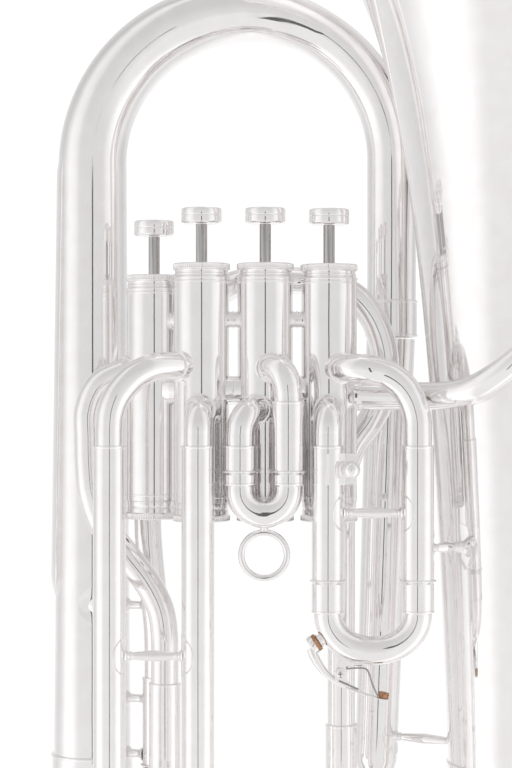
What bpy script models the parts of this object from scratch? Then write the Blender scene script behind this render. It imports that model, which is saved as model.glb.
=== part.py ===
"""A four-valve upright euphonium: tubes, valves, slides and fittings, each as its own object.

Lengths here are in millimetres and MM turns them into Blender's metres. Points are measured from the
middle of the valve block, and at() moves them to the object's own frame: +Z is up, +Y goes from the
front slides to the back bows, and the origin is the lowest point of the bottom bow.
"""
import math

import bmesh
import bpy
import numpy as np
from mathutils import Vector

MM = 0.001
BLOCK = np.array((-25.2, -32.6, 372.76))  # middle of the valve block, from the object's origin
GAP = 0.3  # between pieces that touch on the real instrument
WALL = 0.7
TURN_STEPS = 16

TUBE = 7.6  # outer radius of the small tubes
SLEEVE = 8.7  # outer radius of the outer slide tubes
SLIDE_LEG = 7.0  # outer radius of the legs inside them
PORT_BORE = 6.6

CASING = 15.0
CASING_WALL = 1.2
CASING_TOP, CASING_BOTTOM = 58.3, -63.6
PISTON = 13.2
STEM = 3.1
STROKE = 18.5
VALVES = {1: (39.4, 0.0), 2: (5.0, 0.0), 3: (-29.4, 0.0), 4: (-56.0, 22.0)}
VALVE_DROP = {1: 1.2, 2: 0.6, 3: 0.6, 4: 5.9}  # how much lower each valve's top stands
PISTON_TOP, PISTON_END = 54.6, -36.5
BUTTON_SEAT = 87.2
SPRING_FLOOR = -71.5
KNUCKLE_HEIGHT = -3.5

FRONT = -27.0  # depth of the three front slides
BACK = 60.0  # depth of the big bows
BELL_AXIS = (145.3, 16.0)
BELL_RIM, BELL_END = 271.6, -218.0
BELL_THROAT, BELL_REACH, BELL_POWER = 87.0, 85.1, 0.435  # the flare: a power of the depth below a pole
BELL_POLE = 296.1
BOTTOM_JOINT = -222.0
LEFT_BRANCH = -92.8

objects = bpy.data.objects
for old in list(objects):
    objects.remove(old, do_unlink=True)


def new_collection(name):
    made = bpy.data.collections.new(name)
    bpy.context.scene.collection.children.link(made)
    return made


parts = new_collection("euphonium")
helpers = new_collection("cutters")


def material(name, colour, metallic, roughness):
    made = bpy.data.materials.new(name)
    made.use_nodes = True
    shader = made.node_tree.nodes["Principled BSDF"]
    shader.inputs["Base Color"].default_value = (*colour, 1)
    shader.inputs["Metallic"].default_value = metallic
    shader.inputs["Roughness"].default_value = roughness
    return made


FINISHES = {
    "silver": material("silver_plate", (0.93, 0.92, 0.90), 1.0, 0.06),
    "steel": material("grey_steel", (0.55, 0.54, 0.53), 1.0, 0.3),
    "cork": material("cork", (0.55, 0.34, 0.22), 0.0, 0.9),
}


def at(point):
    """A point of the valve block's frame, in the object's frame and in metres."""
    return Vector((np.asarray(point[:3]) + BLOCK) * MM)


def add(name, data, finish, place=(0, 0, 0)):
    made = objects.new(name, data)
    made.location = place
    if finish is None:
        helpers.objects.link(made)
        made.hide_render = True
        made.display_type = "WIRE"
    else:
        parts.objects.link(made)
        data.materials.append(FINISHES[finish])
    return made


def modify(piece, kind, **settings):
    made = piece.modifiers.new(kind.title(), kind)
    for key, value in settings.items():
        setattr(made, key, value)


def cut(piece, *cutters, operation="DIFFERENCE"):
    for cutter in cutters:
        modify(piece, "BOOLEAN", operation=operation, object=cutter)


def helper(piece):
    """Turns a finished piece into a hidden operand of a Boolean."""
    parts.objects.unlink(piece)
    helpers.objects.link(piece)
    piece.hide_render = True
    piece.display_type = "WIRE"
    return piece


# Routes: rows of x, y, z and outer radius.


def smooth(rows, per_span=2):
    """A Catmull-Rom curve through the rows, radius included."""
    rows = np.array(rows, float)
    rows = np.vstack((2 * rows[0] - rows[1], rows, 2 * rows[-1] - rows[-2]))
    found = []
    for a, b, c, d in zip(rows, rows[1:], rows[2:], rows[3:]):
        for t in np.arange(per_span) / per_span:
            found.append(
                b
                + 0.5 * t * (c - a)
                + t * t * (a - 2.5 * b + 2 * c - 0.5 * d)
                + t**3 * (1.5 * (b - c) + 0.5 * (d - a))
            )
    return np.vstack((found, rows[-2]))


def with_radius(radius, *points):
    return [(*point, radius) for point in points]


def leg(x, y, *stops):
    """A vertical run: each stop is a height and a radius."""
    return [(x, y, z, radius) for z, radius in stops]


def u_bend(start, end, height, radius, steps=7, depth=None):
    """A bend below that height, between two legs seen from above: a half circle unless depth is given."""
    start, end = np.array(start), np.array(end)
    middle, reach = (start + end) / 2, (end - start) / 2
    size = np.linalg.norm(reach)
    found = []
    for angle in np.linspace(0, math.pi, steps + 1):
        x, y = middle - reach * math.cos(angle)
        found.append((x, y, height - (depth or size) * math.sin(angle), radius))
    return found


def tube(name, route, wall=WALL, sides=8, finish="silver"):
    """A mesh object: a tube along the route, hollow with that wall, or solid where wall is None."""
    curve = bpy.data.curves.new(name, "CURVE")
    curve.dimensions = "3D"
    curve.bevel_depth = MM
    curve.bevel_resolution = (sides - 4) // 2
    curve.use_fill_caps = wall is None
    spline = curve.splines.new("POLY")
    spline.points.add(len(route) - 1)
    for point, row in zip(spline.points, route):
        point.co = (*at(row), 1)
        point.radius = row[3]
    drawn = add(name + "_curve", curve, finish)
    bpy.context.view_layer.update()
    mesh = bpy.data.meshes.new_from_object(drawn.evaluated_get(bpy.context.evaluated_depsgraph_get()))
    objects.remove(drawn)
    shape = bmesh.new()
    shape.from_mesh(mesh)
    bmesh.ops.remove_doubles(shape, verts=shape.verts, dist=1e-5)
    shape.to_mesh(mesh)
    shape.free()
    mesh.name = name
    mesh.materials.clear()
    made = add(name, mesh, finish)
    if wall is not None:
        modify(made, "SOLIDIFY", thickness=wall * MM, offset=-1)
    return made


def turned(name, place, profile, finish="silver", direction=(0, 0, 1), closed=False, steps=TURN_STEPS):
    """A profile of radius and height, turned about an axis through place.

    An open profile starts and ends on the axis. A closed one goes round a ring's section.
    """
    mesh = bpy.data.meshes.new(name)
    count = len(profile)
    edges = [(i, (i + 1) % count) for i in range(count if closed else count - 1)]
    mesh.from_pydata([(r * MM, 0, z * MM) for r, z in profile], edges, [])
    made = add(name, mesh, finish, at(place))
    made.rotation_euler = Vector(direction).to_track_quat("Z", "Y").to_euler()
    modify(
        made,
        "SCREW",
        steps=steps,
        render_steps=steps,
        use_merge_vertices=True,
        merge_threshold=1e-5,
    )
    return made


def rod(name, start, end, radius, finish="silver", steps=10):
    """A plain cylinder between two points."""
    along = np.subtract(end, start)
    length = np.linalg.norm(along)
    profile = [(0, length), (radius, length), (radius, 0), (0, 0)]
    return turned(name, start, profile, finish, along, steps=steps)


def block(name, low, high, finish="silver"):
    low, high = np.array(low, float), np.array(high, float)
    mesh = bpy.data.meshes.new(name)
    shape = bmesh.new()
    bmesh.ops.create_cube(shape, size=1)
    bmesh.ops.scale(shape, vec=(high - low) * MM, verts=shape.verts)
    shape.to_mesh(mesh)
    shape.free()
    return add(name, mesh, finish, at((low + high) / 2))


# Valves

clearance = {
    number: rod(f"casing_clearance_{number}", (x, y, -90), (x, y, 80), CASING + GAP, None, TURN_STEPS)
    for number, (x, y) in VALVES.items()
}


def towards(number, x, y):
    """The unit direction from a valve's axis to a point, seen from above."""
    away = np.subtract((x, y), VALVES[number])
    return away / np.linalg.norm(away)


def knuckle_ports(*neighbours):
    return [(VALVES[number], KNUCKLE_HEIGHT) for number in neighbours]


PORTS = {  # each port: a point that it faces, seen from above, and its height
    1: [*knuckle_ports(2), ((54.7, 0), -6), ((45.1, -13.9), 8.3), ((39.4, -15), -13.4)],
    2: [*knuckle_ports(1, 3), ((8, -14.7), 8.6), ((1, -14.5), -13.4)],
    3: [*knuckle_ports(2, 4), ((-40.5, -10.1), 9.5), ((-29.4, -15), -13.4)],
    4: [*knuckle_ports(3), ((-71.3, 22), 6.6), ((-56, 38), -25), ((-48.3, 35.3), 20)],
}


def port_cutters(number, near, far):
    """Cylinders that cut a valve's ports between two radii."""
    x, y = VALVES[number]
    for index, ((to_x, to_y), z) in enumerate(PORTS[number]):
        way = towards(number, to_x, to_y)
        start = (x + near * way[0], y + near * way[1], z)
        end = (x + far * way[0], y + far * way[1], z)
        yield rod(f"port_{number}_{index}_{near}", start, end, PORT_BORE, None)


def casing(number, drop):
    inner, top = CASING - CASING_WALL, CASING_TOP - drop
    profile = [(inner, top), (CASING, top), (CASING, CASING_BOTTOM), (inner, CASING_BOTTOM)]
    made = turned(f"valve_{number}_casing", (*VALVES[number], 0), profile, closed=True)
    cut(made, *port_cutters(number, CASING - 7, CASING + 7))


def top_cap(number, drop):
    seat = CASING_TOP + GAP
    profile = [
        (4.0, 65.7), (15.4, 65.7), (15.4, 62.2), (14.35, 61.9), (14.35, seat), (13.2, seat), (13.2, 55.2),
        (12.2, 55.2), (12.2, 63.6), (4.0, 63.6),
    ]
    turned(f"valve_{number}_top_cap", (*VALVES[number], -drop), profile, closed=True)


def bottom_cap(number):
    seat = CASING_BOTTOM - GAP
    profile = [
        (13.2, -60.5), (13.2, seat), (14.6, seat), (14.6, -70.4), (15.5, -70.7), (15.5, -74.0),
        (3.0, -74.0), (3.0, SPRING_FLOOR), (12.2, SPRING_FLOOR), (12.2, -60.5),
    ]
    turned(f"valve_{number}_bottom_cap", (*VALVES[number], 0), profile, closed=True)


def piston(number, drop):
    """A hollow piston with its stem. Two straight bores stand in for its bent inner passages."""
    x, y = VALVES[number]
    top, end = PISTON_TOP - drop, PISTON_END
    stem_end = BUTTON_SEAT - drop - GAP
    profile = [(0, stem_end), (STEM, stem_end), (STEM, top), (PISTON, top), (PISTON, end), (0, end)]
    made = turned(f"valve_{number}_piston", (x, y, 0), profile, "steel")
    inner, lid = PISTON - CASING_WALL, 2
    hollow = [(0, top - lid), (inner, top - lid), (inner, end + lid), (0, end + lid)]
    cut(made, turned(f"piston_hollow_{number}", (x, y, 0), hollow, None))
    through = PISTON + 4
    for level, (way_x, way_y) in ((KNUCKLE_HEIGHT, (1, 0)), (KNUCKLE_HEIGHT + STROKE + 4, (0, 1))):
        start = (x - through * way_x, y - through * way_y, level)
        end = (x + through * way_x, y + through * way_y, level)
        cut(made, rod(f"piston_bore_{number}_{level:.0f}", start, end, PORT_BORE - 0.8, None))


def button(number, drop):
    rim, groove, height = 10.95, 10.3, 8.4
    middle = BUTTON_SEAT + height / 2
    profile = [
        (0, BUTTON_SEAT + height), (rim - 0.6, BUTTON_SEAT + height), (rim, BUTTON_SEAT + height - 0.6),
        (rim, middle + 0.5), (groove, middle), (rim, middle - 0.5), (rim, BUTTON_SEAT), (0, BUTTON_SEAT),
    ]
    turned(f"valve_{number}_button", (*VALVES[number], -drop), profile)


def spring(number):
    """The return spring between the bottom cap and the piston."""
    x, y = VALVES[number]
    wire, coil, turns, per_turn = 0.6, 9.8, 4, 8
    low, high = SPRING_FLOOR + GAP + wire, PISTON_END - GAP - wire
    route = []
    for t in np.linspace(0, 1, turns * per_turn + 1):
        angle, height = 2 * math.pi * turns * t, low + t * (high - low)
        route.append((x + coil * math.cos(angle), y + coil * math.sin(angle), height, wire))
    tube(f"valve_{number}_spring", route, None, 4, "steel")


for number, drop in VALVE_DROP.items():
    casing(number, drop)
    top_cap(number, drop)
    bottom_cap(number)
    piston(number, drop)
    button(number, drop)
    spring(number)


def knuckle(name, first, second):
    """The short tube between two neighbouring casings."""
    start, end = (*VALVES[first], KNUCKLE_HEIGHT), (*VALVES[second], KNUCKLE_HEIGHT)
    start, end = np.array(start), np.array(end)
    middle, half = (start + end) / 2, (end - start) / 2
    route = [(*(middle + s * half), TUBE) for s in (-0.62, 0.62)]
    cut(tube(name, route), clearance[first], clearance[second])


knuckle("knuckle_1_2", 1, 2)
knuckle("knuckle_2_3", 2, 3)
knuckle("knuckle_3_4", 3, 4)

# Front slides. Each has an upper and a lower tube that end in sleeves, and a bow that slides in them.


def sleeve(x, y, top, bottom):
    """The outer slide tube below a ferrule."""
    return leg(x, y, (top, TUBE), (top - 0.8, SLEEVE), (bottom, SLEEVE))


def bow(name, start, end, inside, sleeve_end, ferrule_end, centre, radius=TUBE, depth=None):
    """The moving part of a slide: two legs, a ferrule on each, and the bend."""
    def side(x, y):
        return leg(
            x, y, (inside, SLIDE_LEG), (sleeve_end - 1.2, SLIDE_LEG), (sleeve_end - 2.0, SLEEVE),
            (ferrule_end, SLEEVE), (ferrule_end - 0.8, radius),
        )
    bend = u_bend(start, end, min(centre, ferrule_end - 1.6), radius, depth=depth)
    tube(name, side(*start) + bend + side(*end)[::-1])


SLIDE_1 = ((38.0, FRONT), (85.2, FRONT))
SLIDE_2 = ((-8.4, FRONT), (17.0, FRONT))
SLIDE_3 = ((-77.3, FRONT), (-30.6, FRONT))
ELBOW = -33.2

upper = smooth(with_radius(
    TUBE, (43.8, -8, 8.2), (46, -16, 8.4), (50, -23.5, 8.4), (58, FRONT, 8), (68, FRONT, 5.6),
    (76.5, FRONT, -0.2), (82, FRONT, -8.2), (84.8, FRONT, -17.5), (85.2, FRONT, -26)))
cut(tube("slide_1_upper_tube", [*upper, *sleeve(*SLIDE_1[1], ELBOW, -104.4)]), clearance[1])
lower = smooth(with_radius(
    TUBE, (39.3, -8, -13.4), (39, -16, -13.6), (38.4, -23, -16.4), (38.1, -26.6, -22), (38, FRONT, -27)))
cut(tube("slide_1_lower_tube", [*lower, *sleeve(*SLIDE_1[0], ELBOW, -104.4)]), clearance[1])
BEND_1, DEPTH_1 = -121.4, 19.2
bow("slide_1_bow", *SLIDE_1, -40, -104.4, -119.8, BEND_1, depth=DEPTH_1)

upper = smooth(with_radius(
    TUBE, (6.5, -8, 7.8), (8.2, -15, 8.8), (11, -21.3, 8.6), (14.4, -25.4, 5), (16.5, -26.9, -1.2),
    (17, FRONT, -8)))
cut(tube("slide_2_upper_tube", [*upper, *sleeve(*SLIDE_2[1], -9.8, -46.9)]), clearance[2])
lower = smooth(with_radius(
    TUBE, (2.4, -8, -13.4), (0, -16, -13.5), (-4.4, -23.4, -15.6), (-7.6, -26.6, -21.5),
    (-8.4, FRONT, -27)))
cut(tube("slide_2_lower_tube", [*lower, *sleeve(*SLIDE_2[0], ELBOW, -46.9)]), clearance[2])
bow("slide_2_bow", *SLIDE_2, -34.8, -46.9, -53.3, -55.9)

upper = smooth(with_radius(
    TUBE, (-33, -4.5, 9.3), (-38.5, -8.3, 9.5), (-45, -13, 9.6), (-52.6, -17.6, 9.2), (-59.1, -21, 7.1),
    (-66, -24, 2.6), (-72.8, -26, -5.6), (-76.4, FRONT, -14.8), (-77.3, FRONT, -24)))
cut(tube("slide_3_upper_tube", [*upper, *sleeve(*SLIDE_3[0], ELBOW, -215)]), clearance[3])
lower = smooth(with_radius(
    TUBE, (-29.5, -8, -13.4), (-29.8, -16, -13.6), (-30.3, -23, -16.4), (-30.5, -26.6, -22),
    (-30.6, FRONT, -27)))
cut(tube("slide_3_lower_tube", [*lower, *sleeve(*SLIDE_3[1], ELBOW, -215)]), clearance[3])
bow("slide_3_bow", *SLIDE_3, -135, -215, -226, -228)

# Fourth slide, behind the third

SLIDE_4 = ((-50.1, 22.0), (-55.0, 46.0))
front = smooth(with_radius(
    TUBE, (-64, 22, 7.4), (-72, 22, 6.6), (-85.8, 22, -0.5), (-92.2, 22, -14.3), (-92.4, 22, -30),
    (-92.0, 22, -45), (-90.4, 22, -60), (-84.2, 22, -77.6), (-71.5, 22, -94), (-60, 22, -109),
    (-52.8, 22, -123.2), (-50.4, 22, -137), (-50.1, 22, -150)), 1)
cut(tube("slide_4_front_tube", [*front, *sleeve(*SLIDE_4[0], -165, -214)]), clearance[4])
rear = smooth(with_radius(
    TUBE, (-56, 30, -24.6), (-56.4, 38, -25.2), (-57.6, 44.8, -29), (-59, 47.6, -38), (-60, 47.5, -55),
    (-60.6, 45, -80), (-58.5, 44.6, -108), (-55.6, 45.6, -135), (-55, 46, -155)), 1)
cut(tube("slide_4_rear_tube", [*rear, *sleeve(*SLIDE_4[1], -165, -214)]), clearance[4])
bow("slide_4_bow", *SLIDE_4, -172, -214, -222.0, -224)

# From the fourth valve to the main tuning slide, and on to the bows

TUNING = ((47.0, 24.3), (68.1, BACK))
outlet = smooth(with_radius(
    TUBE, (-52, 28.9, 19.6), (-48, 35.9, 20.2), (-43, 42.4, 23.5), (-35.5, 43.6, 34), (-26, 38.5, 46),
    (-12, 29.5, 55), (5, 26.6, 56.8), (25, 26.4, 56.8), (40, 26.4, 55), (54, 26.4, 48.5), (64, 26.5, 37),
    (70, 26.5, 22), (71.5, 26.5, 7), (69.6, 26, -7), (62.6, 25, -21), (54, 24.5, -33), (48.8, 24.4, -47),
    (47.2, 24.3, -62), (47, 24.3, -80)), 1)
cut(tube("outlet_tube", [*outlet, *sleeve(*TUNING[0], -188, -236)]), clearance[4])
bow("main_tuning_slide", *TUNING, -203, -236, -241, -242, radius=8.0)

BRANCH_TOP, BRANCH_END = 25.7, -205.0
branch = [
    (76.5, BACK, BRANCH_TOP, 13.8), (72.5, BACK, -90, 12.9), (TUNING[1][0] + 0.5, BACK, BRANCH_END, 11.9),
    *leg(*TUNING[1], (-214, 11.9), (-222, SLEEVE + 0.5), (-236, SLEEVE + 0.5)),
]
tube("first_branch", branch, wall=0.9)

# The big bows

FERRULE_TOP, FERRULE_END = 47.4, 26.5
ARC_X, ARC_Z = -5.1, 125.5
top = [(76.9, BACK, FERRULE_TOP + GAP, 13.9), (77.0, BACK, 90, 13.9)]
for angle in np.radians(np.linspace(0, 180, 13)):
    size = 82.1 + 5.6 * angle / math.pi
    radius = 13.9 + 5.4 * float(np.interp(math.degrees(angle), (60, 117, 180), (0, 0.74, 1)))
    top.append((ARC_X + size * math.cos(angle), BACK, ARC_Z + size * math.sin(angle), radius))
top += leg(LEFT_BRANCH, BACK, (40, 19.9), (-60, 20.5), (-145, 21.2), (BOTTOM_JOINT + 2 * GAP, 22.0))
tube("top_bow", top, wall=0.9, sides=14)
ferrule = [(14.2, FERRULE_TOP), (15.0, FERRULE_TOP), (15.0, FERRULE_END), (14.2, FERRULE_END)]
turned("top_bow_ferrule", (76.7, BACK, 0), ferrule, closed=True)

LOOP_X = (LEFT_BRANCH + BELL_AXIS[0]) / 2
LOOP = (BELL_AXIS[0] - LEFT_BRANCH) / 2
BOW_END_RADIUS = 39.6
low = leg(LEFT_BRANCH, BACK, (BOTTOM_JOINT, 22.0))
for angle in np.radians(np.linspace(0, 180, 13)):
    share = angle / math.pi
    depth = BACK + (BELL_AXIS[1] - BACK) * (1 - math.cos(angle)) / 2
    radius = 22.0 + (BOW_END_RADIUS - 22.0) * share**1.1
    height = BOTTOM_JOINT - 2 - LOOP * math.sin(angle)
    low.append((LOOP_X - LOOP * math.cos(angle), depth, height, radius))
low += leg(*BELL_AXIS, (BELL_END - GAP, BOW_END_RADIUS))
tube("bottom_bow", low, wall=0.9, sides=16)


def guard():
    """The thin plate on the outer side of the left branch."""
    bottom, top, radius, spread = -121.0, 132.0, 20.0, math.radians(66)
    mesh = bpy.data.meshes.new("side_guard")
    rows = 6
    edge = []
    for down in np.linspace(0, 1, rows + 1):
        reach, height = radius + 2.4 * down, top + (bottom - top) * down
        edge.append(Vector((-reach * math.cos(spread / 2), reach * math.sin(spread / 2), height)) * MM)
    mesh.from_pydata(edge, [(i, i + 1) for i in range(rows)], [])
    made = add("side_guard", mesh, "silver", at((LEFT_BRANCH, BACK, 0)))
    modify(made, "SCREW", angle=spread, steps=6, render_steps=6, use_merge_vertices=False)
    modify(made, "SOLIDIFY", thickness=0.9 * MM, offset=1)


guard()


def bell_radius(z):
    return BELL_THROAT * (BELL_REACH / (BELL_POLE - z)) ** BELL_POWER


def bell():
    thickness = 0.9
    heights = [260, 243, 218, 185, 140, 75, -20, -120, BELL_END]
    outer = [(bell_radius(z), z) for z in heights]
    inner = [(r - thickness, z) for r, z in outer[::-1]]
    rim = bell_radius(BELL_RIM)
    profile = [
        (rim - 4.6, BELL_RIM), (rim, BELL_RIM), (rim + 0.7, BELL_RIM - 1.6), (rim - 0.8, BELL_RIM - 3.4)]
    inner[-1] = (inner[-1][0] - 0.4, inner[-1][1] + 0.6)
    turned("bell", (*BELL_AXIS, 0), profile + outer + inner, closed=True, steps=28)


bell()

# Leadpipe and mouthpiece receiver

lead = smooth([
    (47, 0, -6, TUBE), (56, -0.3, -6.1, TUBE), (70, -3.5, -6.5, TUBE), (83, -8.5, -6.5, 7.5),
    (91, -13, -6.3, 7.4), (98, -20, -6, 7.4), (106, -29.5, -5, 7.3), (115, -37, -2, 7.3),
    (125, -42, 4.5, 7.2), (135, -45, 12.6, 7.1),
    (150, -47, 26, 7.0), (166, -45, 43, 6.9), (182, -39.5, 60, 6.8), (198, -30, 76, 6.6),
    (210, -16, 88.5, 6.5), (216.5, -1, 96, 6.5), (218.4, 13, 99.4, 6.4), (218.4, 24, 100, 6.4)], 1)
cut(tube("leadpipe", lead), clearance[1])
seat = 2 * GAP
receiver = [(6.4, 46), (8.0, 46), (8.0, 41), (7.4, 40), (8.2, 8), (9.0, 7.4), (9.0, seat), (5.2, seat)]
turned("mouthpiece_receiver", lead[-1][:3], receiver, direction=(0, 1, 0), closed=True)

# Braces


def spindle(name, start, end, waist=1.7, belly=2.9, foot=3.6):
    """A turned brace between two tubes."""
    length = float(np.linalg.norm(np.subtract(end, start)))
    profile = [
        (0, length), (foot, length), (foot, length - 1), (waist, length - 3), (belly, length / 2),
        (waist, 3), (foot, 1), (foot, 0), (0, 0),
    ]
    return turned(name, start, profile, direction=np.subtract(end, start), steps=12)


for name, slide, height in (("slide_1_brace", SLIDE_1, -68), ("slide_3_brace", SLIDE_3, -143.4)):
    (left, _), (right, _) = slide
    clear = SLEEVE + GAP
    spindle(name, (left + clear, FRONT, height), (right - clear, FRONT, height))


def bell_brace(name, x, y, z, reach):
    """A brace from a tube of that reach to the bell, square to both."""
    way = np.subtract(BELL_AXIS, (x, y))
    length = np.linalg.norm(way)
    way /= length
    far = length - bell_radius(z) - 1.2
    spindle(name, (x + reach * way[0], y + reach * way[1], z), (x + far * way[0], y + far * way[1], z))


bell_brace("bell_brace_upper", *SLIDE_1[1], -87, SLEEVE + 1)
bell_brace("bell_brace_lower", *TUNING[1], -199, 13.4)

# Fittings: pull ring, water key, lyre holder

RING, RING_WIRE = 12.05, 1.75
bow_bottom = -55.9 - (SLIDE_2[1][0] - SLIDE_2[0][0]) / 2 - TUBE
bpy.ops.mesh.primitive_torus_add(
    major_radius=RING * MM, minor_radius=RING_WIRE * MM, major_segments=22, minor_segments=6,
    location=at(((SLIDE_2[0][0] + SLIDE_2[1][0]) / 2, FRONT, bow_bottom - GAP - RING - RING_WIRE)),
    rotation=(math.pi / 2, 0, 0))
ring = bpy.context.object
ring.name = "slide_2_pull_ring"
ring.data.materials.append(FINISHES["silver"])
for home in list(ring.users_collection):
    home.objects.unlink(ring)
parts.objects.link(ring)

PIVOT = (44.3, FRONT, -152.4)
EAR = 1.7  # half the saddle ear's thickness


def pivot_hole(name):
    (x, y, z), reach = PIVOT, 9
    return rod(name, (x, y - reach, z), (x, y + reach, z), 1.5, None)


saddle = block("water_key_saddle", (40.5, FRONT - 5, -149.5), (50.5, FRONT + 5, -143))
bow_space = u_bend(*SLIDE_1, BEND_1, TUBE + GAP + 0.1, 14, DEPTH_1)
cut(saddle, helper(tube("bow_space", bow_space, None, 12)))
ear = helper(block("saddle_ear", (41.8, FRONT - EAR, PIVOT[2] - 2.4), (46.8, FRONT + EAR, -148)))
cut(saddle, ear, operation="UNION")
cut(saddle, pivot_hole("saddle_hole"))

head = [(0, 8.6), (1.1, 8.6), (1.1, 1.2), (2.2, 1.2), (2.2, 0), (0, 0)]
turned("water_key_screw", (PIVOT[0], FRONT - 5.6, PIVOT[2]), head, direction=(0, 1, 0), steps=12)

strap = smooth(with_radius(
    1.6, (29.0, FRONT, -140.2), (31.0, FRONT, -146.4), (34.2, FRONT, -151.4), (38.6, FRONT, -155.6),
    (44.4, FRONT, -159.2), (51.4, FRONT, -161.8), (59.8, FRONT, -164.4), (69.6, FRONT, -166.4)), 1)
lever = tube("water_key_lever", strap, None, 6)
for side in (-1, 1):
    near, far = sorted((FRONT + side * (EAR + 0.4), FRONT + side * (EAR + 2.4)))
    eye = helper(rod(f"lever_eye_{side}", (PIVOT[0], near, PIVOT[2]), (PIVOT[0], far, PIVOT[2]), 2.6))
    low, high = (PIVOT[0] - 1.8, near, -159.6), (PIVOT[0] + 1.8, far, PIVOT[2])
    arm = helper(block(f"lever_arm_{side}", low, high))
    cut(lever, eye, arm, operation="UNION")
yoke = helper(block("lever_yoke", (42.5, FRONT - 4, -160.4), (46.1, FRONT + 4, -157.4)))
cut(lever, yoke, operation="UNION")
cut(lever, pivot_hole("lever_hole"))

DRAIN = np.array((40.9, FRONT, -130.4))  # the drain hole's place on the bend's middle line
SEAT = np.array((-0.834, 0.0, -0.552))  # out of the bend there
rod("water_key_cork", DRAIN + SEAT * 9.2, DRAIN + SEAT * 12.9, 4.4, "cork")

LYRE_X, LYRE_SCREW_HEIGHT = 49.9, -45.1
holder = block("lyre_holder", (LYRE_X - 2.9, FRONT - 5, -52.7), (LYRE_X + 2.9, FRONT + 5, -36.4))
socket = block("lyre_socket", (LYRE_X - 2.25, FRONT - 2.6, -60), (LYRE_X + 2.25, FRONT + 2.6, -30), None)
cut(holder, socket)
screw_end = (LYRE_X, FRONT - 9, LYRE_SCREW_HEIGHT)
cut(holder, rod("lyre_screw_hole", screw_end, (LYRE_X, FRONT - 2, LYRE_SCREW_HEIGHT), 1.6, None))
BALL, BALL_PLACE = 4.4, -6
screw = [(0, 7.2), (1.2, 7.2), (1.2, BALL_PLACE + 4)]
screw += [(BALL * math.sin(t), BALL * math.cos(t) + BALL_PLACE) for t in np.radians((35, 75, 115, 150))]
screw += [(0, BALL_PLACE - BALL)]
turned("lyre_screw", (LYRE_X, FRONT - 9.6, LYRE_SCREW_HEIGHT), screw, direction=(0, 1, 0), steps=12)
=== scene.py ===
"""The looks of a silver-plated four-valve euphonium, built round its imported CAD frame.

Lengths are in millimetres, measured from the middle of the valve block as in the CAD model, and
place() turns them into the frame's metres. Every visible tube, cap and fitting is a fine mesh that
replaces its CAD node and rides on the same body.
"""

import math

import bmesh
import bpy
import numpy as np
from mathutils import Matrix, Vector


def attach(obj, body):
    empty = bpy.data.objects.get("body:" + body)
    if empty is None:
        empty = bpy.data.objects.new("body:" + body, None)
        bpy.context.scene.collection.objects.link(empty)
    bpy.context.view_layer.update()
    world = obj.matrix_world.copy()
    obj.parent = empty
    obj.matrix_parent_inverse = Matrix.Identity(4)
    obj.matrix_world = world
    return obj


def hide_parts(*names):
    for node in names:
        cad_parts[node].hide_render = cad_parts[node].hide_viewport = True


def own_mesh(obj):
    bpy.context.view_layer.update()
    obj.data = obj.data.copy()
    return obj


MM = 0.001
BLOCK = np.array((-25.2, -32.6, 372.76))  # middle of the valve block in the frame

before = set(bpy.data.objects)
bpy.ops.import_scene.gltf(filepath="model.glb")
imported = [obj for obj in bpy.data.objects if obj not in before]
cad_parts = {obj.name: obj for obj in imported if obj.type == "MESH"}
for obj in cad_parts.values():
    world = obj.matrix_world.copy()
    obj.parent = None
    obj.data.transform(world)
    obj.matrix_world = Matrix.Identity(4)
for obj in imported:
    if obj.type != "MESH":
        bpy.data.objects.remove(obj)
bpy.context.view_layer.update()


def place(points):
    return (np.asarray(points, float) + BLOCK) * MM


# Materials


def node_material(name, colour, metallic, roughness):
    made = bpy.data.materials.new(name)
    made.use_nodes = True
    shader = made.node_tree.nodes["Principled BSDF"]
    shader.inputs["Base Color"].default_value = (*colour, 1)
    shader.inputs["Metallic"].default_value = metallic
    shader.inputs["Roughness"].default_value = roughness
    return made, shader


def add_node(material, kind, inputs=(), **settings):
    made = material.node_tree.nodes.new(kind)
    for key, value in settings.items():
        setattr(made, key, value)
    for key, value in dict(inputs).items():
        made.inputs[key].default_value = value
    return made


def object_noise(material, scale, detail, stretch=(1, 1, 1)):
    """Noise in object coordinates, so that it keeps its real size on every piece."""
    coordinates = add_node(material, "ShaderNodeTexCoord")
    mapping = add_node(material, "ShaderNodeMapping", {"Scale": stretch})
    noise = add_node(material, "ShaderNodeTexNoise", {"Scale": scale, "Detail": detail})
    links = material.node_tree.links
    links.new(coordinates.outputs["Object"], mapping.inputs["Vector"])
    links.new(mapping.outputs["Vector"], noise.inputs["Vector"])
    return noise


def ramp_between(material, source, low, high):
    """A Map Range from a noise's middle part to a pair of values."""
    made = add_node(
        material, "ShaderNodeMapRange",
        {"From Min": 0.35, "From Max": 0.65, "To Min": low, "To Max": high})
    material.node_tree.links.new(source, made.inputs["Value"])
    return made.outputs["Result"]


def mix_colours(material, source, low, high, start=0.4, end=0.6):
    ramp = add_node(material, "ShaderNodeValToRGB")
    ramp.color_ramp.elements[0].position = start
    ramp.color_ramp.elements[0].color = (*low, 1)
    ramp.color_ramp.elements[1].position = end
    ramp.color_ramp.elements[1].color = (*high, 1)
    material.node_tree.links.new(source, ramp.inputs["Fac"])
    return ramp.outputs["Color"]


def bump(material, shader, source, distance):
    made = add_node(material, "ShaderNodeBump", {"Distance": distance, "Strength": 1.0})
    material.node_tree.links.new(source, made.inputs["Height"])
    material.node_tree.links.new(made.outputs["Normal"], shader.inputs["Normal"])


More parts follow.
